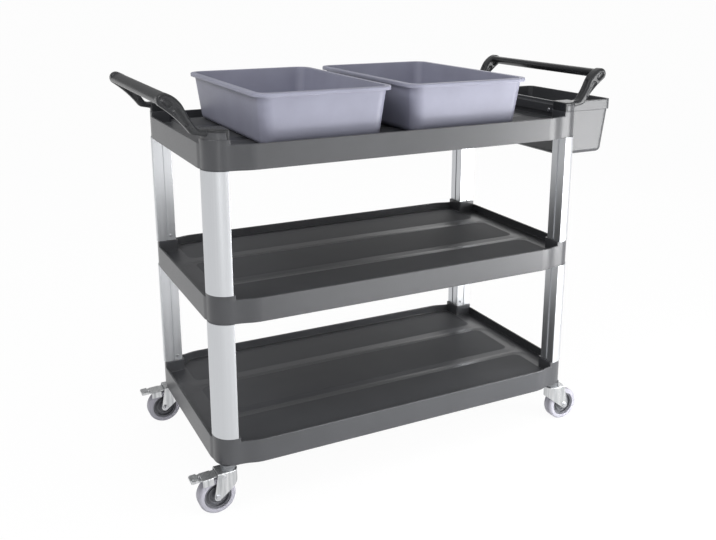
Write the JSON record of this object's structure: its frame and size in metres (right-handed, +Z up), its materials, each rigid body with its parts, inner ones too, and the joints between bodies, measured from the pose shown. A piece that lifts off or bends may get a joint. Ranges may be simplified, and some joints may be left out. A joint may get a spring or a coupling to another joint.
{
  "type": "bussing cart",
  "caption": "Tiered bussing cart: moulded trays on quarter-round aluminium uprights, end push handles, lift-out bus tubs, hook-on refuse bin, swivel casters with foot brakes.",
  "frame": {"origin": "on the floor, at the middle of the cart's overall length and width", "axes": "+X along the trays towards the refuse bin, -Y the front long side, +Z up"},
  "size_m": [1.142, 0.496, 0.881],
  "materials": {
    "tray_plastic": "fine moulded texture, charcoal polypropylene",
    "handle_plastic": "fine moulded texture, charcoal polypropylene",
    "post_aluminium": "satin anodised extrusion",
    "tub_plastic": "moulded polypropylene, lilac grey",
    "bin_plastic": "fine moulded texture, charcoal polypropylene",
    "screw_steel": "zinc plated",
    "fork_steel": "bright zinc plated pressing",
    "race_steel": "zinc plated",
    "ball_steel": "polished balls",
    "hub_plastic": "moulded polypropylene, grey",
    "tyre_rubber": "non-marking grey rubber",
    "pedal_steel": "bright zinc plated pressing",
    "insert_brass": "turned insert"
  },
  "bodies": {
    "chassis": {"top_tray": "tray_plastic", "middle_tray": "tray_plastic", "bottom_tray": "tray_plastic", "upright_lower_front_left": "post_aluminium", "upright_lower_front_right": "post_aluminium", "upright_lower_rear_left": "post_aluminium", "upright_lower_rear_right": "post_aluminium", "upright_upper_front_left": "post_aluminium", "upright_upper_front_right": "post_aluminium", "upright_upper_rear_left": "post_aluminium", "upright_upper_rear_right": "post_aluminium", "upright_screws": "screw_steel", "handle_left": "handle_plastic", "handle_right": "handle_plastic", "handle_screws": "screw_steel", "stem_inserts": "insert_brass", "caster_stem_front_left": "race_steel", "caster_stem_front_right": "race_steel", "caster_stem_rear_left": "race_steel", "caster_stem_rear_right": "race_steel"},
    "swivel_front_left": {"race_cup_front_left": "race_steel", "swivel_balls_front_left": "ball_steel", "caster_fork_front_left": "fork_steel", "axle_bolt_front_left": "screw_steel", "axle_sleeve_front_left": "race_steel", "brake_pin_front_left": "screw_steel"},
    "wheel_front_left": {"wheel_hub_front_left": "hub_plastic", "tyre_front_left": "tyre_rubber"},
    "swivel_front_right": {"race_cup_front_right": "race_steel", "swivel_balls_front_right": "ball_steel", "caster_fork_front_right": "fork_steel", "axle_bolt_front_right": "screw_steel", "axle_sleeve_front_right": "race_steel"},
    "wheel_front_right": {"wheel_hub_front_right": "hub_plastic", "tyre_front_right": "tyre_rubber"},
    "swivel_rear_left": {"race_cup_rear_left": "race_steel", "swivel_balls_rear_left": "ball_steel", "caster_fork_rear_left": "fork_steel", "axle_bolt_rear_left": "screw_steel", "axle_sleeve_rear_left": "race_steel", "brake_pin_rear_left": "screw_steel"},
    "wheel_rear_left": {"wheel_hub_rear_left": "hub_plastic", "tyre_rear_left": "tyre_rubber"},
    "swivel_rear_right": {"race_cup_rear_right": "race_steel", "swivel_balls_rear_right": "ball_steel", "caster_fork_rear_right": "fork_steel", "axle_bolt_rear_right": "screw_steel", "axle_sleeve_rear_right": "race_steel"},
    "wheel_rear_right": {"wheel_hub_rear_right": "hub_plastic", "tyre_rear_right": "tyre_rubber"},
    "pedal_front_left": {"brake_pedal_front_left": "pedal_steel"},
    "pedal_rear_left": {"brake_pedal_rear_left": "pedal_steel"},
    "tub_left": {"bus_tub_left": "tub_plastic"},
    "tub_right": {"bus_tub_right": "tub_plastic"},
    "bin": {"refuse_bin": "bin_plastic", "bin_clamp_screws": "screw_steel"}
  },
  "joints": [
    {"name": "swivel_front_left_turn", "type": "hinge", "parent": "chassis", "child": "swivel_front_left", "pos_m": [-0.465, -0.218, 0.1], "axis": [0, 0, 1], "continuous": true},
    {"name": "wheel_front_left_spin", "type": "hinge", "parent": "swivel_front_left", "child": "wheel_front_left", "pos_m": [-0.493, -0.218, 0.04], "axis": [0, 1, 0], "continuous": true},
    {"name": "swivel_front_right_turn", "type": "hinge", "parent": "chassis", "child": "swivel_front_right", "pos_m": [0.385, -0.218, 0.1], "axis": [0, 0, 1], "continuous": true},
    {"name": "wheel_front_right_spin", "type": "hinge", "parent": "swivel_front_right", "child": "wheel_front_right", "pos_m": [0.413, -0.218, 0.04], "axis": [0, 1, 0], "continuous": true},
    {"name": "swivel_rear_left_turn", "type": "hinge", "parent": "chassis", "child": "swivel_rear_left", "pos_m": [-0.465, 0.218, 0.1], "axis": [0, 0, 1], "continuous": true},
    {"name": "wheel_rear_left_spin", "type": "hinge", "parent": "swivel_rear_left", "child": "wheel_rear_left", "pos_m": [-0.493, 0.218, 0.04], "axis": [0, 1, 0], "continuous": true},
    {"name": "swivel_rear_right_turn", "type": "hinge", "parent": "chassis", "child": "swivel_rear_right", "pos_m": [0.385, 0.218, 0.1], "axis": [0, 0, 1], "continuous": true},
    {"name": "wheel_rear_right_spin", "type": "hinge", "parent": "swivel_rear_right", "child": "wheel_rear_right", "pos_m": [0.413, 0.218, 0.04], "axis": [0, 1, 0], "continuous": true},
    {"name": "pedal_front_left_press", "type": "hinge", "parent": "swivel_front_left", "child": "pedal_front_left", "pos_m": [-0.479, -0.218, 0.0835], "axis": [0, -1, 0], "range_deg": [0, 9]},
    {"name": "pedal_rear_left_press", "type": "hinge", "parent": "swivel_rear_left", "child": "pedal_rear_left", "pos_m": [-0.479, 0.218, 0.0835], "axis": [0, -1, 0], "range_deg": [0, 9]},
    {"name": "tub_left_lift", "type": "slide", "parent": "chassis", "child": "tub_left", "axis": [0, 0, 1], "range_m": [0, 0.15]},
    {"name": "tub_right_lift", "type": "slide", "parent": "chassis", "child": "tub_right", "axis": [0, 0, 1], "range_m": [0, 0.15]},
    {"name": "bin_lift", "type": "slide", "parent": "chassis", "child": "bin", "axis": [0, 0, 1], "range_m": [0, 0.04]}
  ]
}
